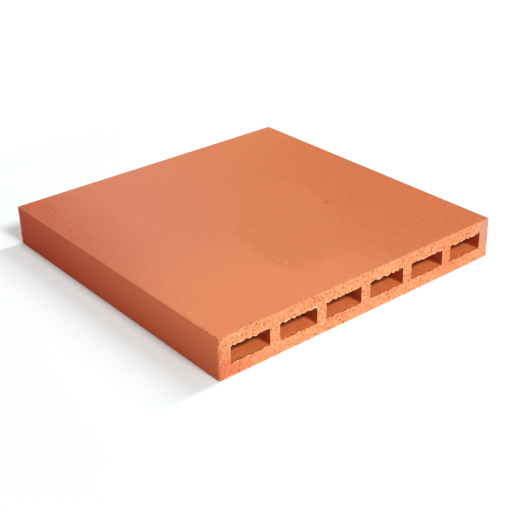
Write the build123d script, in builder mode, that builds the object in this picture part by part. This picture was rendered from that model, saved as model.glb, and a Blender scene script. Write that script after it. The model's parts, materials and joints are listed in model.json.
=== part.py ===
"""Perforated clay tile: a square slab of fired clay, extruded in one piece with a row of flat cells through it.

The frame has its origin at the middle of the underside. X runs across the cells, along the cut end that
shows their mouths. Y runs along the cells, the way the clay left the die. Z is up. Sizes are in millimetres.
"""

import os

from build123d import *

# The slab
tile_width = 400.0  # across the cells
tile_length = 400.0  # along the cells, from one wire-cut end to the other
tile_thickness = 50.0
arris_radius = 1.5  # on the four long edges, as the die leaves them

# The cells
cell_count = 6
side_wall = 15.0  # clay beside the first and the last cell
face_wall = 15.0  # clay above and below every cell
web = 13.0  # clay between two cells
cell_corner_radius = 1.5

# What is left for a cell between its walls
cell_width = (tile_width - 2 * side_wall - (cell_count - 1) * web) / cell_count
cell_height = tile_thickness - 2 * face_wall
cell_pitch = cell_width + web

with BuildPart() as clay_tile:
    # The die's opening, seen from the cut end: a rounded slab with the cells left out of it
    with BuildSketch(Plane.XZ) as die_section:
        with Locations((0, tile_thickness / 2)):
            RectangleRounded(tile_width, tile_thickness, arris_radius)
            with GridLocations(cell_pitch, 0, cell_count, 1):
                RectangleRounded(cell_width, cell_height, cell_corner_radius, mode=Mode.SUBTRACT)
    # Both ends are cut square by a wire, so they keep sharp edges
    extrude(amount=tile_length / 2, both=True)

clay_tile.part.label = "clay_tile"

os.makedirs("parts", exist_ok=True)
export_step(clay_tile.part, "parts/clay_tile.step")

print(f"cell {cell_width:.2f} by {cell_height:.2f} mm, one every {cell_pitch:.2f} mm")
print(f"solid volume {clay_tile.part.volume / 1e6:.3f} litres")
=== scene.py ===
"""Perforated clay tile: the looks of the fired and wire-cut clay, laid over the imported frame.

All sizes are in metres, in the frame's own axes: X runs across the cells, Y along them and Z up, with the
origin at the middle of the underside. The view is onto the cut end at -Y and the left side at -X.
"""

import json
import math
import bpy
from mathutils import Matrix, Vector


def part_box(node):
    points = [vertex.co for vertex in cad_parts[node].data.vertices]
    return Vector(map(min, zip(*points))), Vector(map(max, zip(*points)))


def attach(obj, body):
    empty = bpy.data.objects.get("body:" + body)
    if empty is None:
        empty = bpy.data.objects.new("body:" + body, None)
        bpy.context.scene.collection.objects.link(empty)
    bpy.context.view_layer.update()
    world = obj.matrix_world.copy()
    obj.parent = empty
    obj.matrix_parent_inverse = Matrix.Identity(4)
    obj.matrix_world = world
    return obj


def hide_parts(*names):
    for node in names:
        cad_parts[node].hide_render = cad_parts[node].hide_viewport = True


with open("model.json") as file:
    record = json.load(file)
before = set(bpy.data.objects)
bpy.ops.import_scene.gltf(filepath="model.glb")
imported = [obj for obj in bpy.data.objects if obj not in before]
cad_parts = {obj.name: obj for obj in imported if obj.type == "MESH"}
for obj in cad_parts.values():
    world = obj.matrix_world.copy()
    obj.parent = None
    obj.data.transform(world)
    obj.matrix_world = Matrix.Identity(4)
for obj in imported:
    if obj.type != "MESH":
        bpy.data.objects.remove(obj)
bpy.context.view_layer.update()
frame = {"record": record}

MM = 0.001

# The slab, as the frame holds it
tile_low, tile_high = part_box("clay_tile")
tile_width = tile_high.x - tile_low.x
tile_length = tile_high.y - tile_low.y
tile_thickness = tile_high.z - tile_low.z

# The cells, from the boxes that the record gives for them, which stay clear of the cells' own walls
box_clearance = 0.5 * MM
openings = frame["record"]["physics"]["openings"]
cell_boxes = [[Vector(corner) for corner in opening["box_m"]] for opening in openings]
cell_width = cell_boxes[0][1].x - cell_boxes[0][0].x + 2 * box_clearance
cell_height = cell_boxes[0][1].z - cell_boxes[0][0].z + 2 * box_clearance
cell_pitch = cell_boxes[1][0].x - cell_boxes[0][0].x

# What the die leaves
arris_radius = 1.5 * MM
cell_corner_radius = 1.5 * MM

# What the wire tore at the cut ends
tooth_size = 5.0 * MM  # of the teeth along the long edges of each mouth
tooth_difference = 0.8 * MM  # longer on the upper edge, and shorter on the lower one
tooth_depth = 1.0 * MM
tooth_reach = 1.8 * MM  # how fast the teeth fade above and below the mouths
fray_size = 2.0 * MM  # of the fraying, on the teeth and on the short edges
fray_depth = 1.4 * MM  # on the short edges
fray_reach = 1.5 * MM  # how fast the fraying fades beside the mouths
lively_length = 26.0 * MM  # from where the teeth stand out to where they are flat
shine_length = 20.0 * MM  # from where the lips are bright to where they are dull
squaring_reach = 3.0 * MM  # how fast the squareness of the torn corners fades along the cells
tear_reach = 1.9 * MM  # how fast the teeth and the fraying fade along the cells
bite_size = 4.5 * MM  # of the bites out of the outer rims
bite_reach = 1.6 * MM
front_bite_depth = 2.8 * MM
back_bite_depth = 0.7 * MM
lip_width = 0.8 * MM  # of the lips that stand round the mouths
set_back_depth = 0.35 * MM  # of the open face of the cut, behind the lips
set_back_reach = 3.2 * MM
rough_size = 2.6 * MM
rough_depth = 0.6 * MM
pluck_spacing = 6.5 * MM  # from one plucked grain to the next
pluck_depth = 0.5 * MM

# The mesh
ruling = 0.9 * MM  # from one line to the next, over the cut ends
stations = 30  # rings along the tile, from one cut end to the other
crowding = 5.0  # how strongly those rings crowd towards the cut ends
tile_seed = 11

# The camera, where the photo's stood
camera_place = Vector((-713.8, -903.6, 600.0)) * MM
camera_aim = Vector((-34.7, -55.9, 25.0)) * MM
camera_roll = math.radians(-1.364)  # the right side of the picture dips
camera_lens = 75.13  # in millimetres, as the sensor is
camera_sensor = 36.0

# The light: a soft lamp in front, high enough to leave a dark line under the lip of each mouth, a long
# strip of light from the right, a small fill from the front right and an even glow from all round. The
# lamp is a touch cooler than the strip, since the red side of the tile warms the shadow that only the
# strip lights.
front_lamp_from = Vector((0.026, -0.742, 0.670))
front_lamp_power = 2.3
front_lamp_colour = (0.94, 1.0, 1.0)
front_lamp_spread = math.radians(14)
strip_from = Vector((1.0, 0.0, 1.07))
strip_distance = 10.0
strip_size = (1.0, 6.1)
strip_power = 473.0
strip_colour = (1.0, 0.93, 0.93)
fill_place = Vector((0.3, -1.3, 0.9))
fill_aim = Vector((0.0, -0.2, 0.03))
fill_size = 0.6
fill_power = 2.0
room_glow = 0.25

# The floor, which shows a little white of its own beside the tile and rises to full white far out
floor_colour = (0.88, 0.915, 0.915)
floor_own_white = 0.05
floor_rise_from = 0.45
floor_rise_to = 1.1
floor_reach = 3.0
floor_drop = 0.02 * MM  # clear of the underside

# Fired clay, in linear colour
skin_orange = (0.730, 0.237, 0.101)
# The top's painted sheen, painted pool of light and painted shade, which also darkens the edge chips
skin_rose_sheen = (0.632, 0.211, 0.121)
skin_painted_light = (0.750, 0.234, 0.097)
skin_painted_shade = (0.460, 0.094, 0.041)
skin_brown_shade = (0.582, 0.150, 0.045)
# The sides' colours, with painted shade: darker at the far end and at the foot
side_near_top = (0.950, 0.244, 0.098)
side_near_foot = (0.740, 0.130, 0.044)
side_far_top = (0.650, 0.098, 0.046)
side_far_foot = (0.525, 0.060, 0.019)
# A painted highlight along the arrises
skin_arris_highlight = (0.760, 0.260, 0.120)
rim_tan = (0.570, 0.190, 0.095)
sand_pale = (0.820, 0.360, 0.220)
sand_red = (0.800, 0.180, 0.070)
sand_grey = (0.500, 0.220, 0.120)
stain_brown = (0.640, 0.187, 0.072)
spot_brown = (0.500, 0.130, 0.055)
fleck_mauve = (0.420, 0.200, 0.300)
fleck_pale = (0.860, 0.560, 0.440)
fleck_red = (0.720, 0.110, 0.030)
nick_dark = (0.220, 0.040, 0.020)
cut_orange = (0.930, 0.404, 0.167)
cut_pale = (0.950, 0.515, 0.250)
cut_deep = (0.750, 0.190, 0.072)
# The lips' painted highlight
cut_lip_highlight = (0.950, 0.680, 0.350)
cut_border = (0.520, 0.130, 0.060)
grog_red = (0.360, 0.055, 0.040)
grog_orange = (0.700, 0.120, 0.035)
chip_pale = (0.860, 0.560, 0.360)
chip_white = (0.950, 0.800, 0.620)
bloom_pink = (0.660, 0.300, 0.240)
cell_floor_orange = (0.940, 0.250, 0.066)
cell_floor_red = (0.710, 0.160, 0.048)
# Painted shade in the cells: dark red walls, darker farther in and behind the lips
cell_wall_shade_red = (0.490, 0.066, 0.023)
cell_painted_shade = (0.240, 0.030, 0.012)

# The size of the sand's grains on each kind of face
skin_grain = 1.8 * MM
cut_grain = 1.7 * MM
cell_grain = 1.9 * MM

# How far in from the mouths the cells turn dark with painted shade
cell_shade_from = 16.0 * MM
cell_shade_to = 23.0 * MM

# Marks on the top face, as x and y in millimetres
dark_spots = (
    (63, 61), (80, 48), (90, 26), (84, 4), (89, -10), (58, -13), (43, -22),
    (10, 0), (6, -22), (10, -35), (14, -41), (-17, -36), (-21, 22), (26, 34),
)
dark_spot_radius = 2.8 * MM
pale_flecks = (
    (102, -158), (86, -194), (-30, -43), (-31, -15), (-52, -106), (-49, -128), (-131, -138), (-152, -125),
)
pale_fleck_radius = 1.5 * MM
mauve_flecks = ((72, -70), (32, -65), (-114, -73), (-167, -105), (-68, -162))
mauve_fleck_radius = 1.9 * MM
red_flecks = ((-95, -113), (-72, -175), (-140, 20))
red_fleck_radius = 1.8 * MM
nick_start = (88.1, -32.5)
nick_end = (87.2, -46.0)
nick_width = 1.3 * MM

# Two pale dashes along the tile: x, and where each starts and ends along Y, in millimetres
pale_dashes = ((-178, -105, -112), (-191, -138, -145))
dash_width = 1.1 * MM

# The chips out of the left side's edges, by the front corner: y, z and radius in millimetres
edge_chips = (
    (-176, 50, 1.5), (-182.5, 50, 1.7), (-194.5, 50, 2.0), (-199.5, 47.8, 2.0), (-199.5, 44.6, 1.7),
)

# The pale chips on the lower lips of the first two cells: x and z in millimetres
lip_chips = ((-163, 14.4), (-176, 14.6), (-96, 14.4))
lip_chip_radius = 1.7 * MM

# Redder places on the cut ends: x, z and reach in millimetres, and how much redder
redder_places = ((-200, 2, 38, 1.0), (142, 24, 32, 0.55))


class Reading:
    """What a node puts out, for use in plain sums. Each sum adds one math node to the tree."""

    def __init__(self, tree, socket):
        self.tree = tree
        self.socket = socket

    def __add__(self, other):
        return self.tree.math("ADD", self, other)

    def __sub__(self, other):
        return self.tree.math("SUBTRACT", self, other)

    def __rsub__(self, other):
        return self.tree.math("SUBTRACT", other, self)

    def __mul__(self, other):
        return self.tree.math("MULTIPLY", self, other)

    def __truediv__(self, other):
        return self.tree.math("DIVIDE", self, other)

    def __rtruediv__(self, other):
        return self.tree.math("DIVIDE", other, self)

    def __abs__(self):
        return self.tree.math("ABSOLUTE", self)

    __radd__ = __add__


class Tree:
    """A node tree of any kind, written as steps that read one another."""

    def __init__(self, nodes):
        self.nodes = nodes

    def feed(self, socket, value):
        """Links a reading to a socket, or sets the socket to a plain value or colour."""
        if isinstance(value, Reading):
            self.nodes.links.new(value.socket, socket)
        elif socket.type == "RGBA":
            socket.default_value = (*value, 1.0)
        elif socket.type == "VECTOR" and isinstance(value, (int, float)):
            socket.default_value = (value, value, value)
        else:
            socket.default_value = value

    def node(self, kind, inputs=None, **settings):
        made = self.nodes.nodes.new(kind)
        for name, value in settings.items():
            setattr(made, name, value)
        for name, value in (inputs or {}).items():
            self.feed(made.inputs[name], value)
        return made

    def read(self, kind, inputs=None, give=0, **settings):
        """Adds a node and gives one of its outputs, by number or name."""
        return Reading(self, self.node(kind, inputs, **settings).outputs[give])

    def math(self, operation, *values):
        vectors = any(isinstance(value, Reading) and value.socket.type == "VECTOR" for value in values)
        made = self.nodes.nodes.new("ShaderNodeVectorMath" if vectors else "ShaderNodeMath")
        made.operation = operation
        for socket, value in zip(made.inputs, values):
            self.feed(socket, value)
        return Reading(self, next(socket for socket in made.outputs if socket.enabled))

    def ramp(self, value, start, end, bottom=0.0, top=1.0, shape="SMOOTHSTEP"):
        """Goes from bottom to top while value goes from start to end, and stays flat outside them."""
        inputs = {"Value": value, "From Min": start, "From Max": end, "To Min": bottom, "To Max": top}
        return self.read("ShaderNodeMapRange", inputs, "Result", interpolation_type=shape)

    def split(self, vector):
        made = self.node("ShaderNodeSeparateXYZ", {"Vector": vector})
        return [Reading(self, socket) for socket in made.outputs]

    def join(self, x, y, z):
        return self.read("ShaderNodeCombineXYZ", {"X": x, "Y": y, "Z": z})

    def lumps(self, place, size, detail=2.0, seed=0.0):
        """Cloudy noise about 0.5, with lumps of that size."""
        inputs = {"Vector": place, "W": seed, "Scale": 1.0 / size, "Detail": detail}
        return self.read("ShaderNodeTexNoise", inputs, noise_dimensions="4D")

    def chunks(self, place, size):
        """How far the middle of the nearest random chunk is, where the chunks are of that size."""
        return self.read("ShaderNodeTexVoronoi", {"Vector": place, "Scale": 1.0 / size}, "Distance")

    def teeth(self, along, size, give="Distance"):
        """The same along one line, as a row of uneven teeth, or each tooth's own random colour."""
        inputs = {"W": along, "Scale": 1.0 / size}
        return self.read("ShaderNodeTexVoronoi", inputs, give, voronoi_dimensions="1D")

    def tint(self, ground, colour, share):
        """Lays a colour over the ground, as much as share says."""
        made = self.node("ShaderNodeMix", data_type="RGBA")
        sockets = [socket for socket in made.inputs if socket.enabled]
        for socket, value in zip(sockets, (share, ground, colour)):
            self.feed(socket, value)
        return Reading(self, next(socket for socket in made.outputs if socket.enabled))

    def place(self, group, inputs):
        """Puts a node group in the tree and gives its outputs by name."""
        made = self.node(self.nodes.bl_idname.replace("Tree", "Group"), node_tree=group)
        for name, value in inputs.items():
            self.feed(made.inputs[name], value)
        return {socket.name: Reading(self, socket) for socket in made.outputs}


def node_group(name, kind, inputs, outputs):
    """An empty node group with named sockets: its tree, what comes in, and the node it goes out by."""
    group = bpy.data.node_groups.new(name, kind)
    for label, socket_type in inputs.items():
        group.interface.new_socket(label, in_out="INPUT", socket_type="NodeSocket" + socket_type)
    for label, socket_type in outputs.items():
        group.interface.new_socket(label, in_out="OUTPUT", socket_type="NodeSocket" + socket_type)
    tree = Tree(group)
    entry = group.nodes.new("NodeGroupInput")
    coming = {socket.name: Reading(tree, socket) for socket in entry.outputs if socket.name}
    return tree, coming, group.nodes.new("NodeGroupOutput")


# Finishes that the clay's materials share


def kiln_drift_group():
    """Slow changes of colour across the fired clay, with smaller clouds inside them."""
    inputs = {"Place": "Vector", "Drift Size": "Float", "Cloud Size": "Float"}
    outputs = {"Drift": "Float", "Cloud": "Float"}
    tree, coming, out = node_group("kiln_drift", "ShaderNodeTree", inputs, outputs)
    drift = tree.lumps(coming["Place"], coming["Drift Size"], 1.0)
    cloud = tree.lumps(coming["Place"], coming["Cloud Size"], 3.0, 4.0)
    tree.feed(out.inputs["Drift"], tree.ramp(drift, 0.3, 0.7))
    tree.feed(out.inputs["Cloud"], tree.ramp(cloud, 0.3, 0.7))
    return out.id_data


def sand_group():
    """Fine sand in the clay: pale, red and grey grains, and how high each stands."""
    inputs = {"Place": "Vector", "Grain Size": "Float"}
    outputs = {"Pale": "Float", "Red": "Float", "Grey": "Float", "Height": "Float"}
    tree, coming, out = node_group("sand", "ShaderNodeTree", inputs, outputs)
    place = coming["Place"]
    size = coming["Grain Size"]
    for number, name in enumerate(("Pale", "Red", "Grey")):
        grains = tree.lumps(place, size * (1.0 + 0.3 * number), 1.0, 1.0 + 2.0 * number)
        tree.feed(out.inputs[name], tree.ramp(grains, 0.42, 0.72))
    grains = tree.ramp(tree.chunks(place, size * 1.2), 0.1, 0.7, 1.0, 0.0)
    fine = tree.lumps(place, size, 2.0, 9.0)
    tree.feed(out.inputs["Height"], grains * 0.5 + fine * 0.5)
    return out.id_data


def spots_group():
    """Round grains or flecks, scattered through the clay, each with a size of its own."""
    inputs = {"Place": "Vector", "Spacing": "Float", "Radius": "Float", "Share": "Float"}
    tree, coming, out = node_group("spots", "ShaderNodeTree", inputs, {"Mask": "Float", "Kind": "Float"})
    spacing = coming["Spacing"]
    cell = tree.node("ShaderNodeTexVoronoi", {"Vector": coming["Place"], "Scale": 1.0 / spacing})
    far = Reading(tree, cell.outputs["Distance"]) * spacing
    size, kept, kind = tree.split(Reading(tree, cell.outputs["Color"]))
    radius = coming["Radius"] * (0.5 + size * 0.5)
    spot = tree.ramp(far, radius, radius * 0.55)
    tree.feed(out.inputs["Mask"], spot * tree.math("LESS_THAN", kept, coming["Share"]))
    tree.feed(out.inputs["Kind"], kind)
    return out.id_data


def patch_group():
    """A patch with a soft, wandering edge about one place, turned about Z by an angle."""
    inputs = {
        "Place": "Vector", "Middle": "Vector", "Reach": "Vector", "Turn": "Float",
        "Softness": "Float", "Wander": "Float", "Wander Size": "Float",
    }
    tree, coming, out = node_group("patch", "ShaderNodeTree", inputs, {"Mask": "Float"})
    turned = {"Vector": coming["Place"] - coming["Middle"], "Angle": coming["Turn"]}
    reach = tree.read("ShaderNodeVectorRotate", turned, rotation_type="Z_AXIS") / coming["Reach"]
    wander = (tree.lumps(coming["Place"], coming["Wander Size"], 3.0, 7.0) - 0.5) * coming["Wander"]
    away = tree.math("LENGTH", reach) + wander
    tree.feed(out.inputs["Mask"], tree.ramp(away, 1.0 + coming["Softness"], 1.0 - coming["Softness"]))
    return out.id_data


def drag_lines_group():
    """Lines along the tile that the clay is drawn into as it slides through the die."""
    inputs = {"Place": "Vector", "Line Spacing": "Float", "Line Length": "Float"}
    tree, coming, out = node_group("drag_lines", "ShaderNodeTree", inputs, {"Line": "Float"})
    stretch = tree.join(1.0, coming["Line Spacing"] / coming["Line Length"], 1.0)
    line = tree.lumps(coming["Place"] * stretch, coming["Line Spacing"], 3.0, 3.0)
    tree.feed(out.inputs["Line"], tree.ramp(line, 0.25, 0.75))
    return out.id_data


def round_mark_group():
    """One round mark with a soft edge."""
    inputs = {"Place": "Vector", "Middle": "Vector", "Radius": "Float"}
    tree, coming, out = node_group("round_mark", "ShaderNodeTree", inputs, {"Mask": "Float"})
    away = tree.math("DISTANCE", coming["Place"], coming["Middle"])
    tree.feed(out.inputs["Mask"], tree.ramp(away, coming["Radius"], coming["Radius"] * 0.4))
    return out.id_data


def scratch_group():
    """A mark along a straight line, thin at its start, and how far along the line each point is."""
    inputs = {"Place": "Vector", "Start": "Vector", "End": "Vector", "Width": "Float"}
    outputs = {"Mask": "Float", "Along": "Float"}
    tree, coming, out = node_group("scratch", "ShaderNodeTree", inputs, outputs)
    line = coming["End"] - coming["Start"]
    reach = coming["Place"] - coming["Start"]
    along = tree.math("DOT_PRODUCT", reach, line) / tree.math("DOT_PRODUCT", line, line)
    along = tree.math("MINIMUM", tree.math("MAXIMUM", along, 0.0), 1.0)
    away = tree.math("LENGTH", reach - line * along)
    width = coming["Width"] * (0.3 + along * 0.7)
    tree.feed(out.inputs["Mask"], tree.ramp(away, width, width * 0.4))
    tree.feed(out.inputs["Along"], along)
    return out.id_data


kiln_drift = kiln_drift_group()
sand = sand_group()
spots = spots_group()
patch = patch_group()
drag_lines = drag_lines_group()
round_mark = round_mark_group()
scratch = scratch_group()


# The three faces of the clay


class Clay:
    """A clay material in the making: its tree, its shader and the places on the tile."""

    def __init__(self, name, gloss):
        self.material = bpy.data.materials.new(name)
        self.material.use_nodes = True
        self.tree = Tree(self.material.node_tree)
        self.shader = self.material.node_tree.nodes["Principled BSDF"]
        self.shader.inputs["Specular IOR Level"].default_value = gloss
        self.place = self.tree.read("ShaderNodeTexCoord", give="Object")
        self.x, self.y, self.z = self.tree.split(self.place)

    def attribute(self, name):
        return self.tree.read("ShaderNodeAttribute", give="Fac", attribute_name=name)

    def use(self, group, give="Mask", **inputs):
        """One output of a shared finish, with inputs named as its sockets are, with _ for each space."""
        named = {name.replace("_", " "): value for name, value in inputs.items()}
        return self.tree.place(group, {"Place": self.place, **named})[give]

    def sanded(self, colour, grain_size, pale, red, grey):
        """The colour with as much pale, red and grey sand in it, and the height of the grains."""
        grains = self.tree.place(sand, {"Place": self.place, "Grain Size": grain_size})
        colour = self.tree.tint(colour, sand_pale, grains["Pale"] * pale)
        colour = self.tree.tint(colour, sand_red, grains["Red"] * red)
        return self.tree.tint(colour, sand_grey, grains["Grey"] * grey), grains["Height"]

    def marked(self, colour, places, radius, mark_colour, strength):
        """The colour with round marks on the top face, at places given in millimetres."""
        for x, y in places:
            mark = self.use(round_mark, Middle=(x * MM, y * MM, tile_thickness), Radius=radius)
            colour = self.tree.tint(colour, mark_colour, mark * strength)
        return colour

    def finish(self, colour, roughness, height, relief):
        """Sets the colour, the roughness, and the fine relief as a height in metres times relief."""
        self.tree.feed(self.shader.inputs["Base Color"], colour)
        self.tree.feed(self.shader.inputs["Roughness"], roughness)
        inputs = {"Strength": 1.0, "Distance": relief, "Height": height}
        self.tree.feed(self.shader.inputs["Normal"], self.tree.read("ShaderNodeBump", inputs))
        return self.material


def top_face_colour(clay):
    """The top face: orange, with painted light and shade in soft patches, and a damp stain."""
    tree = clay.tree
    above = tile_thickness
    # A painted sheen makes the left rosier and duller
    painted_sheen = clay.use(patch, Middle=(-0.16, 0.14, above), Reach=(0.20, 0.24, 0.1), Turn=0.5,
                    Softness=0.7, Wander=0.4, Wander_Size=0.08)
    # Painted shade darkens the far left corner
    painted_shade_far_left = clay.use(patch, Middle=(-0.235, 0.22, above), Reach=(0.085, 0.24, 0.1), Turn=0.05,
                    Softness=0.75, Wander=0.2, Wander_Size=0.08)
    # Painted shade makes the right browner and darker
    browner_painted_shade = clay.use(patch, Middle=(0.28, -0.10, above), Reach=(0.28, 0.33, 0.1), Turn=0.0,
                     Softness=0.6, Wander=0.3, Wander_Size=0.08)
    # A painted pool of light brightens the front
    front = clay.use(patch, Middle=(-0.10, -0.20, above), Reach=(0.10, 0.12, 0.1), Turn=0.0,
                     Softness=0.65, Wander=0.3, Wander_Size=0.08)
    stain = clay.use(patch, Middle=(0.020, -0.040, above), Reach=(0.056, 0.122, 0.02),
                     Turn=math.radians(32.5), Softness=0.12, Wander=0.5, Wander_Size=0.04)
    colour = tree.tint(skin_orange, skin_rose_sheen, painted_sheen)
    colour = tree.tint(colour, skin_brown_shade, browner_painted_shade)
    colour = tree.tint(colour, skin_painted_light, front)
    colour = tree.tint(colour, stain_brown, stain * 0.8)
    colour = tree.tint(colour, skin_painted_shade, painted_shade_far_left)
    colour = clay.marked(colour, dark_spots, dark_spot_radius, spot_brown, 0.4)
    colour = clay.marked(colour, mauve_flecks, mauve_fleck_radius, fleck_mauve, 0.7)
    colour = clay.marked(colour, pale_flecks, pale_fleck_radius, fleck_pale, 0.45)
    for x, start, end in pale_dashes:
        dash = clay.use(scratch, Start=(x * MM, start * MM, above), End=(x * MM, end * MM, above),
                        Width=dash_width)
        colour = tree.tint(colour, fleck_pale, dash * 0.35)
    return clay.marked(colour, red_flecks, red_fleck_radius, fleck_red, 0.5)


def side_colour(clay):
    """The two sides: redder, with painted shade darkest at the far end and at the foot, and lines along
    the tile.
    """
    tree = clay.tree
    lines = clay.use(drag_lines, "Line", Line_Spacing=2.5 * MM, Line_Length=0.09)
    cloud = clay.use(kiln_drift, "Cloud", Drift_Size=0.2, Cloud_Size=0.02)
    # Painted shade: darker towards the far end and towards the foot
    far = tree.ramp(clay.y, tile_length * -0.5, tile_length * 0.5, shape="LINEAR")
    painted_shade_low = tree.ramp(clay.z, tile_thickness, 0.0, shape="LINEAR")
    top = tree.tint(side_near_top, side_far_top, far)
    foot = tree.tint(side_near_foot, side_far_foot, far)
    return tree.tint(tree.tint(top, foot, painted_shade_low), side_far_foot, lines * 0.15 + cloud * 0.08 - 0.04)


def die_skin():
    """The smooth outer skin: sanded orange clay, redder down the sides, with a painted highlight on the
    arrises.
    """
    clay = Clay("die_skin", 0.12)
    tree = clay.tree
    from_side = tile_width / 2 - abs(clay.x)
    from_face = tile_thickness / 2 - abs(clay.z - tile_thickness / 2)
    side = tree.ramp(from_side, 1.0 * MM, 0.2 * MM)
    colour, height = clay.sanded(top_face_colour(clay), skin_grain, 0.18, 0.28, 0.24)
    colour = tree.tint(colour, side_colour(clay), side)

    # A painted highlight along the arrises, and a tan edge just inside the cut rims
    away = tree.math("LENGTH", tree.join(from_side, from_face, 0.0))
    cloud = clay.use(kiln_drift, "Cloud", Drift_Size=0.1, Cloud_Size=6.0 * MM)
    patchy = tree.ramp(cloud, 0.1, 0.6, 0.5, 1.0)
    colour = tree.tint(colour, skin_arris_highlight, tree.ramp(away, 2.2 * MM, 1.0 * MM) * patchy * 0.3)
    from_cut = tile_length / 2 - abs(clay.y)
    colour = tree.tint(colour, rim_tan, tree.ramp(from_cut, 5.0 * MM, 0.5 * MM) * patchy * 0.2)

    # The nick that something dragged into the top, pale at its start, and the chips out of the left edges
    start = (nick_start[0] * MM, nick_start[1] * MM, tile_thickness)
    end = (nick_end[0] * MM, nick_end[1] * MM, tile_thickness)
    nick = tree.place(scratch, {"Place": clay.place, "Start": start, "End": end, "Width": nick_width})
    nick_colour = tree.tint(fleck_pale, nick_dark, tree.ramp(nick["Along"], 0.1, 0.5))
    colour = tree.tint(colour, nick_colour, nick["Mask"] * tree.ramp(nick["Along"], 0.0, 0.6, 0.25, 0.65))
    hollow = nick["Mask"]
    # The chips' dark colour is painted shade in their hollows
    for y, z, radius in edge_chips:
        chip = clay.use(round_mark, Middle=(tile_width * -0.5, y * MM, z * MM), Radius=radius * MM)
        colour = tree.tint(colour, skin_painted_shade, chip * 0.7)
        hollow = tree.math("MAXIMUM", hollow, chip)
    lines = clay.use(drag_lines, "Line", Line_Spacing=3.0 * MM, Line_Length=0.12)
    roughness = tree.ramp(height, 0.0, 1.0, 0.65, 0.85)
    return clay.finish(colour, roughness, height + lines * 0.5 - hollow * 6.0, 0.06 * MM)


def wire_cut_clay():
    """The cut ends: open, torn clay, brighter than the skin, full of grog and with painted highlights on
    the sharp lips.
    """
    clay = Clay("wire_cut_clay", 0.08)
    tree = clay.tree
    drift = tree.place(kiln_drift, {"Place": clay.place, "Drift Size": 0.07, "Cloud Size": 5.0 * MM})
    torn = clay.use(kiln_drift, "Cloud", Drift_Size=0.07, Cloud_Size=3.0 * MM)
    colour = tree.tint(cut_orange, cut_deep, drift["Drift"] * 0.3)
    colour = tree.tint(colour, cut_deep, tree.ramp(drift["Cloud"], 0.65, 0.0) * 0.6)
    colour = tree.tint(colour, cut_pale, tree.ramp(torn, 0.45, 1.0) * 0.7)
    front = tile_length * -0.5
    for x, z, reach, share in redder_places:
        redder = clay.use(patch, Middle=(x * MM, front, z * MM),
                          Reach=(reach * MM, 0.05, reach * 0.7 * MM), Turn=0.0,
                          Softness=0.6, Wander=0.6, Wander_Size=0.01)
        colour = tree.tint(colour, cut_deep, redder * share)
    colour, height = clay.sanded(colour, cut_grain, 0.55, 0.75, 0.22)

    # A bloom of salts at the right end, and a dull border beside the left side
    bloom = clay.use(patch, Middle=(0.205, front, 0.042), Reach=(0.022, 0.05, 0.034), Turn=0.0,
                     Softness=0.5, Wander=0.9, Wander_Size=8.0 * MM)
    colour = tree.tint(colour, bloom_pink, bloom * (0.3 + torn * 0.7))
    border = tree.ramp(tile_width / 2 + clay.x, 7.0 * MM, 0.5 * MM)
    colour = tree.tint(colour, cut_border, border * tree.ramp(torn, 0.1, 0.6) * 0.8)

    # Pale chips, rusty grains and dark grog, which is scattered by itself
    pale = clay.use(spots, Spacing=7.0 * MM, Radius=1.6 * MM, Share=0.6)
    rust = clay.use(spots, Spacing=3.8 * MM, Radius=1.4 * MM, Share=0.75)
    elsewhere = clay.place + 0.5
    grog = tree.place(spots, {"Place": elsewhere, "Spacing": 4.6 * MM, "Radius": 1.55 * MM, "Share": 0.7})
    colour = tree.tint(colour, chip_pale, pale * 0.6)
    colour = tree.tint(colour, grog_orange, rust * 0.65)
    colour = tree.tint(colour, grog_red, grog["Mask"] * (0.2 + grog["Kind"] * 0.6))
    # A painted highlight on the lips
    colour = tree.tint(colour, cut_lip_highlight, clay.attribute("lip"))
    for x, z in lip_chips:
        chip = clay.use(round_mark, Middle=(x * MM, front, z * MM), Radius=lip_chip_radius)
        colour = tree.tint(colour, chip_white, chip * 0.9)
    height = height + torn - grog["Mask"] * 1.5
    return clay.finish(colour, tree.ramp(torn, 0.0, 1.0, 0.8, 0.95), height, 0.3 * MM)


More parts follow.
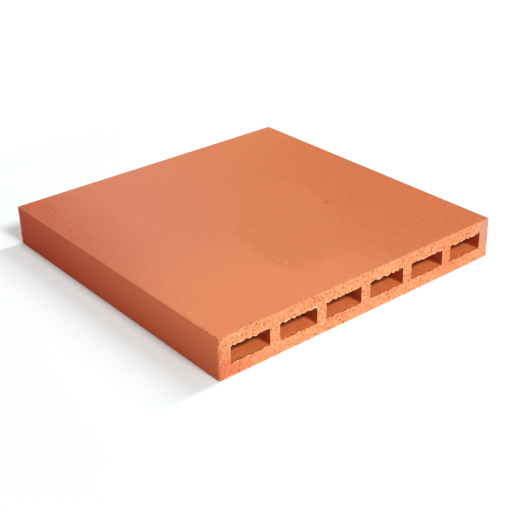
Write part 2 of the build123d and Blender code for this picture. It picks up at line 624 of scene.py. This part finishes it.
def cell_wall_clay():
    """The inside of the cells: orange, streaked floors, and painted shade: dark red walls, darker farther
    in.
    """
    clay = Clay("cell_wall_clay", 0.05)
    tree = clay.tree
    lines = clay.use(drag_lines, "Line", Line_Spacing=3.5 * MM, Line_Length=0.04)
    cloud = clay.use(kiln_drift, "Cloud", Drift_Size=0.1, Cloud_Size=9.0 * MM)
    colour = tree.tint(cell_floor_orange, cell_floor_red, lines * 0.35 + cloud * 0.5)
    above_floor = clay.z - (tile_thickness - cell_height) / 2
    across = tree.math("FRACT", clay.x / cell_pitch + len(cell_boxes) / 2) - 0.5
    corner = above_floor - (cell_width / 2 - abs(across * cell_pitch))
    # Painted shade: dark red up the walls and into the floor's corners by them
    painted_corner_shade = tree.ramp(corner, -4.0 * MM, 6.0 * MM)
    painted_wall_shade = tree.ramp(above_floor, 4.0 * MM, 9.0 * MM)
    colour = tree.tint(colour, cell_wall_shade_red, tree.math("MAXIMUM", painted_corner_shade, painted_wall_shade) * 0.9)
    # Painted shade, deeper farther in from the mouths
    from_cut = tile_length / 2 - abs(clay.y)
    painted_deep_shade = tree.ramp(from_cut, cell_shade_from, cell_shade_to, 0.0, 0.85)
    colour = tree.tint(colour, cell_painted_shade, painted_deep_shade)
    colour, height = clay.sanded(colour, cell_grain, 0.1, 0.1, 0.1)

    # Painted shade: small dark patches right behind the torn lips, and under the lips themselves
    painted_pit_shade = tree.ramp(clay.use(kiln_drift, "Cloud", Drift_Size=0.1, Cloud_Size=3.5 * MM), 0.55, 0.8)
    colour = tree.tint(colour, cell_painted_shade, tree.ramp(from_cut, 2.8 * MM, 1.2 * MM) * painted_pit_shade * 0.85)
    colour = tree.tint(colour, cell_painted_shade, clay.attribute("lip") * 0.7)
    return clay.finish(colour, tree.ramp(height, 0.0, 1.0, 0.75, 0.9), lines + height, 0.1 * MM)


# The tile's shape


def ruled(tree, line, start, *spans):
    """The place of a numbered line, where each span is so many lines over such a length, side by side."""
    place = 0.0
    for lines, length in spans:
        place = place + tree.ramp(line, start, start + lines, 0.0, length, "LINEAR")
        start = start + lines
    return place


def within(tree, value, start, end):
    """1 where start < value < end, otherwise 0."""
    return tree.math("GREATER_THAN", value, start) * tree.math("LESS_THAN", value, end)


def fading(tree, away, reach):
    """1 at no distance, fading to nothing over a few times reach."""
    return tree.math("EXPONENT", tree.math("MAXIMUM", away, 0.0) / (reach * -1.0))


def extruded_tile_group(skin, cut, wall):
    """The tile as a rule: a ruled section without the cells, extruded ring by ring and torn at the ends.

    It is made on whole numbers, one for each line of the mesh, and then each line goes to its real place.
    """
    inputs = {
        "Width": "Float", "Length": "Float", "Thickness": "Float",
        "Cells": "Int", "Cell Width": "Float", "Cell Height": "Float", "Cell Pitch": "Float",
        "Arris Radius": "Float", "Cell Corner Radius": "Float",
        "Ruling": "Float", "Stations": "Int", "Crowding": "Float", "Seed": "Int",
    }
    tree, size, out = node_group("extruded_tile", "GeometryNodeTree", inputs, {"Tile": "Geometry"})
    width, length, thickness = size["Width"], size["Length"], size["Thickness"]
    cells, pitch = size["Cells"], size["Cell Pitch"]
    opening, height = size["Cell Width"], size["Cell Height"]
    web = pitch - opening
    side = (width - opening - pitch * (cells - 1.0)) / 2.0
    cover = (thickness - height) / 2.0

    # How many lines go over each part of the section
    def lines_over(length):
        return tree.math("ROUND", length / size["Ruling"])

    over_side, over_cell, over_web = lines_over(side), lines_over(opening), lines_over(web)
    over_cover, over_height = lines_over(cover), lines_over(height)
    columns = over_side * 2.0 + over_cell * cells + over_web * (cells - 1.0)
    rows = over_cover * 2.0 + over_height
    repeat = over_cell + over_web

    # The section, with its lower left corner on zero
    whole = {"rounding_mode": "ROUND"}
    sheet = tree.read("GeometryNodeMeshGrid", {
        "Size X": columns,
        "Size Y": rows,
        "Vertices X": tree.read("FunctionNodeFloatToInt", {"Float": columns + 1.0}, **whole),
        "Vertices Y": tree.read("FunctionNodeFloatToInt", {"Float": rows + 1.0}, **whole),
    })
    corner = tree.join(columns / 2.0, rows / 2.0, 0.0)
    sheet = tree.read("GeometryNodeTransform", {"Geometry": sheet, "Translation": corner})
    column, row, station = tree.split(tree.read("GeometryNodeInputPosition"))
    past_side = column - over_side
    cell_number = tree.math("FLOOR", past_side / repeat)
    in_period = past_side - cell_number * repeat
    over_a_cell = tree.math("LESS_THAN", in_period, over_cell)
    over_a_cell = over_a_cell * within(tree, column, over_side, columns - over_side)
    over_a_cell = over_a_cell * within(tree, row, over_cover, over_cover + over_height)
    sheet = tree.read("GeometryNodeDeleteGeometry",
                      {"Geometry": sheet, "Selection": over_a_cell}, domain="FACE")

    # The extrusion, one ring at a time, closed by the first section turned over
    rings = tree.node("GeometryNodeRepeatInput")
    rings_end = tree.node("GeometryNodeRepeatOutput")
    rings.pair_with_output(rings_end)
    rings_end.repeat_items.new("BOOLEAN", "Front")
    tree.feed(rings.inputs["Iterations"], size["Stations"])
    tree.feed(rings.inputs["Geometry"], sheet)
    tree.feed(rings.inputs["Front"], True)
    push = tree.node("GeometryNodeExtrudeMesh", {
        "Mesh": Reading(tree, rings.outputs["Geometry"]),
        "Selection": Reading(tree, rings.outputs["Front"]),
        "Offset": (0.0, 0.0, 1.0),
        "Individual": False,
    })
    tree.feed(rings_end.inputs["Geometry"], Reading(tree, push.outputs["Mesh"]))
    tree.feed(rings_end.inputs["Front"], Reading(tree, push.outputs["Top"]))
    joined = tree.node("GeometryNodeJoinGeometry")
    tree.feed(joined.inputs["Geometry"], Reading(tree, rings_end.outputs["Geometry"]))
    tree.feed(joined.inputs["Geometry"], tree.read("GeometryNodeFlipFaces", {"Mesh": sheet}))
    shape = Reading(tree, joined.outputs["Geometry"])
    shape = tree.read("GeometryNodeMergeByDistance", {"Geometry": shape, "Distance": 0.01})

    # Every line goes to its real place
    past_side = tree.math("MINIMUM", tree.math("MAXIMUM", past_side, 0.0), columns - over_side * 2.0)
    cell_number = tree.math("FLOOR", past_side / repeat)
    x = ruled(tree, column, 0.0, (over_side, side)) - width / 2.0
    x = x + cell_number * pitch
    x = x + ruled(tree, past_side - cell_number * repeat, 0.0, (over_cell, opening), (over_web, web))
    x = x + ruled(tree, column, columns - over_side, (over_side, side))
    z = ruled(tree, row, 0.0, (over_cover, cover), (over_height, height), (over_cover, cover))
    from_middle = station * 2.0 / size["Stations"] - 1.0
    crowd = size["Crowding"]
    shrink = tree.math("EXPONENT", crowd * (1.0 - abs(from_middle))) - 1.0
    share = 1.0 - shrink / (tree.math("EXPONENT", crowd) - 1.0)
    y = tree.math("SIGN", from_middle) * share * length * -0.5
    shape = tree.read("GeometryNodeSetPosition", {"Geometry": shape, "Position": tree.join(x, y, z)})

    # Where each point lies, from the walls of the nearest cell and from the edges of the slab
    place = tree.read("GeometryNodeInputPosition")
    x, y, z = tree.split(place)
    nearest = tree.math("FLOOR", x / pitch + cells / 2.0)
    nearest = tree.math("MINIMUM", tree.math("MAXIMUM", nearest, 0.0), cells - 1.0)
    from_cell = x - (nearest + 0.5 - cells / 2.0) * pitch
    from_centre = z - thickness / 2.0
    sideward, upward = tree.math("SIGN", from_cell), tree.math("SIGN", from_centre)

    # The rounded corners: a square corner's lines are drawn in onto a quarter circle
    def rounding(across, up, half_width, half_height, radius):
        u = tree.ramp(across, half_width - radius, half_width, shape="LINEAR")
        v = tree.ramp(up, half_height - radius, half_height, shape="LINEAR")
        outside = tree.math("MAXIMUM", across - half_width, up - half_height)
        ease = tree.ramp(outside, 0.0, radius * 2.0, 1.0, 0.0, "LINEAR") * radius
        pull_u = u * (tree.math("SQRT", 1.0 - v * v * 0.5) - 1.0) * ease
        pull_v = v * (tree.math("SQRT", 1.0 - u * u * 0.5) - 1.0) * ease
        return pull_u, pull_v

    # The wire tears the cells' corners nearly square again at the mouths
    from_cut = length / 2.0 - abs(y)
    kept = 1.0 - fading(tree, from_cut, squaring_reach) * 0.75
    corner_x, corner_z = rounding(abs(from_cell), abs(from_centre), opening / 2.0, height / 2.0,
                                  size["Cell Corner Radius"])
    arris_x, arris_z = rounding(abs(x), abs(from_centre), width / 2.0, thickness / 2.0,
                                size["Arris Radius"])
    move_x = corner_x * kept * sideward + arris_x * tree.math("SIGN", x)
    move_z = (corner_z * kept + arris_z) * upward

    # The cut ends and the cells' walls are marked, and sharp edges kept sharp, while all is still square
    normal_y = tree.split(tree.read("GeometryNodeInputNormal", give="True Normal"))[1]
    inner = tree.math("LESS_THAN", abs(x), width / 2.0 - side / 2.0)
    inner = inner * tree.math("LESS_THAN", abs(from_centre), thickness / 2.0 - cover / 2.0)
    faces = tree.node("GeometryNodeCaptureAttribute", domain="FACE")
    faces.capture_items.new("BOOLEAN", "Cut")
    faces.capture_items.new("BOOLEAN", "Inner")
    tree.feed(faces.inputs["Geometry"], shape)
    tree.feed(faces.inputs["Cut"], tree.math("GREATER_THAN", abs(normal_y), 0.5))
    tree.feed(faces.inputs["Inner"], inner)
    shape = Reading(tree, faces.outputs["Geometry"])
    is_cut, is_inner = Reading(tree, faces.outputs["Cut"]), Reading(tree, faces.outputs["Inner"])
    sharp = tree.math("GREATER_THAN", tree.read("GeometryNodeInputMeshEdgeAngle"), math.radians(60))
    shape = tree.read("GeometryNodeSetShadeSmooth",
                      {"Geometry": shape, "Shade Smooth": True}, domain="FACE")
    shape = tree.read("GeometryNodeSetShadeSmooth",
                      {"Geometry": shape, "Selection": sharp, "Shade Smooth": False}, domain="EDGE")
    move = tree.join(move_x, 0.0, move_z)
    shape = tree.read("GeometryNodeSetPosition", {"Geometry": shape, "Offset": move})

    # What the wire tore: teeth along each mouth's long edges, and a frayed edge elsewhere
    seed = size["Seed"] * 3.7
    endward = tree.math("SIGN", y)
    face_place = tree.join(x, endward * 0.7, z)
    past_wall = abs(from_cell) - opening / 2.0
    past_cover = abs(from_centre) - height / 2.0
    along = x + upward * 0.31 + endward * 0.83 + seed
    tooth_span = tooth_size + upward * tooth_difference
    tooth = tree.teeth(along, tooth_span) - 0.28
    step = tree.split(tree.teeth(along, tooth_span, "Color"))[0] - 0.5
    fray = tree.lumps(face_place, fray_size, 2.0, seed) - 0.5
    stretch = tree.join(along, 0.0, 0.0)
    lively = tree.ramp(tree.lumps(stretch, lively_length, 1.0, 3.0), 0.38, 0.62, 0.4, 1.15)
    shine = tree.ramp(tree.lumps(stretch, shine_length, 1.0, 8.0), 0.36, 0.54, 0.35, 1.2)
    ragged = (tooth * 2.0 + step * 1.5) * lively + fray * 2.4
    beside_cell = tree.ramp(past_wall, -0.3 * MM, 1.2 * MM, 1.0, 0.0)
    level_with_cell = tree.ramp(past_cover, -0.3 * MM, 1.2 * MM, 1.0, 0.0)
    mouth = fading(tree, past_cover, tooth_reach) * beside_cell
    jamb = fading(tree, past_wall, fray_reach) * level_with_cell
    tear_z = upward * ragged * mouth * -tooth_depth
    tear_x = sideward * fray * jamb * -fray_depth

    # Small bites out of the outer rims, deeper in the sides' edges and at the front
    rim_z = fading(tree, thickness / 2.0 - abs(from_centre), bite_reach)
    rim_x = fading(tree, width / 2.0 - abs(x), bite_reach)
    chip = tree.lumps(face_place, bite_size, 3.0, seed + 5.0) - 0.5
    bite = tree.math("MAXIMUM", chip + 0.06, 0.0)
    bite = bite * tree.ramp(endward, -1.0, 1.0, -front_bite_depth, -back_bite_depth, "LINEAR")
    tear_z = tear_z + upward * bite * rim_z
    tear_x = tear_x + tree.math("SIGN", x) * bite * rim_x * 2.3

    # The open face of the cut, with its plucked grains, stands back a little behind the mouths' lips
    lip_z = fading(tree, past_cover, lip_width) * beside_cell
    lip_x = fading(tree, past_wall, lip_width) * level_with_cell
    lip_shape = tree.math("MAXIMUM", lip_z, lip_x)
    pluck = tree.ramp(tree.chunks(face_place, pluck_spacing), 0.12, 0.34, 1.0, 0.0)
    rough = tree.lumps(face_place, rough_size, 2.0, seed + 9.0)
    set_back = set_back_depth + rough * rough_depth + pluck * pluck_depth
    set_back = set_back * (1.0 - lip_shape * 0.9) * (1.0 - tree.math("MAXIMUM", rim_z, rim_x) * 0.5)
    set_back = set_back * fading(tree, from_cut, set_back_reach)

    # How bright the painted highlight on the broken lips is, which the materials read
    broken = tree.ramp(ragged, -0.5, 0.3)
    spotty = tree.ramp(fray, -0.05, 0.12)
    lip_light = broken * shine * (spotty * 0.85 + tree.ramp(upward, -1.0, 1.0, 0.0, 0.4, "LINEAR"))
    lip = tree.math("MAXIMUM", lip_z * lip_light, lip_x * spotty * 0.15)
    lip = lip * fading(tree, from_cut, 1.0 * MM)
    shape = tree.read("GeometryNodeStoreNamedAttribute", {"Geometry": shape, "Name": "lip", "Value": lip},
                      domain="POINT")
    fade_in = fading(tree, from_cut, tear_reach)
    torn = tree.join(tear_x * fade_in, endward * set_back * -1.0, tear_z * fade_in)
    shape = tree.read("GeometryNodeSetPosition", {"Geometry": shape, "Offset": torn})

    # Nothing stands outside the slab's own box
    inside = tree.math("MAXIMUM", place, tree.join(width * -0.5, length * -0.5, 0.0))
    inside = tree.math("MINIMUM", inside, tree.join(width * 0.5, length * 0.5, thickness))
    shape = tree.read("GeometryNodeSetPosition", {"Geometry": shape, "Position": inside})
    shape = tree.read("GeometryNodeRealizeInstances", {"Geometry": shape})
    for chosen, material in ((True, skin), (is_inner, wall), (is_cut, cut)):
        shape = tree.read("GeometryNodeSetMaterial",
                          {"Geometry": shape, "Selection": chosen, "Material": material})
    tree.feed(out.inputs["Tile"], shape)
    return out.id_data


def fired_tile():
    """The visible tile: the rule above with this tile's sizes, turned into a plain mesh."""
    tile = bpy.data.objects.new("fired_tile", bpy.data.meshes.new("fired_tile"))
    bpy.context.scene.collection.objects.link(tile)
    rule = tile.modifiers.new("extruded_tile", "NODES")
    rule.node_group = extruded_tile_group(die_skin(), wire_cut_clay(), cell_wall_clay())
    sizes = {
        "Width": tile_width, "Length": tile_length, "Thickness": tile_thickness, "Cells": len(cell_boxes),
        "Cell Width": cell_width, "Cell Height": cell_height, "Cell Pitch": cell_pitch,
        "Arris Radius": arris_radius, "Cell Corner Radius": cell_corner_radius,
        "Ruling": ruling, "Stations": stations, "Crowding": crowding, "Seed": tile_seed,
    }
    for name, value in sizes.items():
        rule[rule.node_group.interface.items_tree[name].identifier] = value
    view = bpy.context.evaluated_depsgraph_get()
    made = tile.evaluated_get(view)
    tile.data = bpy.data.meshes.new_from_object(made, preserve_all_data_layers=True, depsgraph=view)
    tile.modifiers.clear()
    return tile


# The studio


def seen_directly(tree):
    """1 for what the camera sees, straight, mirrored or through glass, and 0 for what lights the tile."""
    path = tree.node("ShaderNodeLightPath")
    kinds = ("Is Camera Ray", "Is Glossy Ray", "Is Transmission Ray")
    straight, mirrored, through = [Reading(tree, path.outputs[kind]) for kind in kinds]
    return tree.math("MAXIMUM", tree.math("MAXIMUM", straight, mirrored), through)


def floor():
    """A wide plain floor that shows white and keeps the tile's soft shadow."""
    mesh = bpy.data.meshes.new("floor")
    turns = ((-1, -1), (1, -1), (1, 1), (-1, 1))
    corners = [(across * floor_reach, along * floor_reach, -floor_drop) for across, along in turns]
    mesh.from_pydata(corners, [], [(0, 1, 2, 3)])
    plane = bpy.data.objects.new("floor", mesh)
    bpy.context.scene.collection.objects.link(plane)
    material = bpy.data.materials.new("studio_floor")
    material.use_nodes = True
    material.node_tree.nodes.clear()
    tree = Tree(material.node_tree)
    matt = tree.read("ShaderNodeBsdfDiffuse", {"Color": floor_colour})
    far_out = tree.math("LENGTH", tree.read("ShaderNodeTexCoord", give="Object"))
    own_white = tree.ramp(far_out, floor_rise_from, floor_rise_to, floor_own_white, 1.0)
    strength = seen_directly(tree) * own_white
    glow = tree.read("ShaderNodeEmission", {"Color": (1, 1, 1), "Strength": strength})
    both = tree.node("ShaderNodeAddShader")
    tree.feed(both.inputs[0], matt)
    tree.feed(both.inputs[1], glow)
    tree.node("ShaderNodeOutputMaterial", {"Surface": Reading(tree, both.outputs[0])})
    mesh.materials.append(material)


def room():
    """An even glow from all round, which shows as plain white behind the tile."""
    world = bpy.data.worlds.new("room")
    world.use_nodes = True
    world.node_tree.nodes.clear()
    tree = Tree(world.node_tree)
    strength = tree.math("MAXIMUM", seen_directly(tree), room_glow)
    light = tree.read("ShaderNodeBackground", {"Color": (1, 1, 1), "Strength": strength})
    tree.node("ShaderNodeOutputWorld", {"Surface": light})
    bpy.context.scene.world = world


def lamp(name, kind, power, place, towards, **settings):
    """A lamp of one kind at a place, turned towards another."""
    light = bpy.data.lights.new(name, kind)
    light.energy = power
    for setting, value in settings.items():
        setattr(light, setting, value)
    holder = bpy.data.objects.new(name, light)
    holder.location = place
    holder.rotation_euler = (place - towards).to_track_quat("Z", "Y").to_euler()
    bpy.context.scene.collection.objects.link(holder)


def lamps():
    tile_middle = Vector((0.0, 0.0, tile_thickness / 2))
    lamp("front_lamp", "SUN", front_lamp_power, front_lamp_from, Vector(),
         color=front_lamp_colour, angle=front_lamp_spread)
    lamp("side_strip", "AREA", strip_power, strip_from.normalized() * strip_distance, tile_middle,
         color=strip_colour, shape="RECTANGLE", size=strip_size[0], size_y=strip_size[1])
    lamp("near_fill", "AREA", fill_power, fill_place, fill_aim, shape="DISK", size=fill_size)


def camera():
    """The camera at the photo's place, turned about its own line of sight by the roll."""
    data = bpy.data.cameras.new("camera")
    data.sensor_width = camera_sensor
    data.lens = camera_lens
    ahead = (camera_aim - camera_place).normalized()
    level = ahead.cross(Vector((0, 0, 1))).normalized()
    right = Matrix.Rotation(camera_roll, 3, -ahead) @ level
    up = right.cross(ahead)
    facing = Matrix((right, up, -ahead)).transposed().to_4x4()
    holder = bpy.data.objects.new("camera", data)
    holder.matrix_world = Matrix.Translation(camera_place) @ facing
    bpy.context.scene.collection.objects.link(holder)
    bpy.context.scene.camera = holder


tile = fired_tile()
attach(tile, "root")
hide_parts("clay_tile")
floor()
room()
lamps()
camera()
bpy.context.scene.view_settings.view_transform = "Standard"
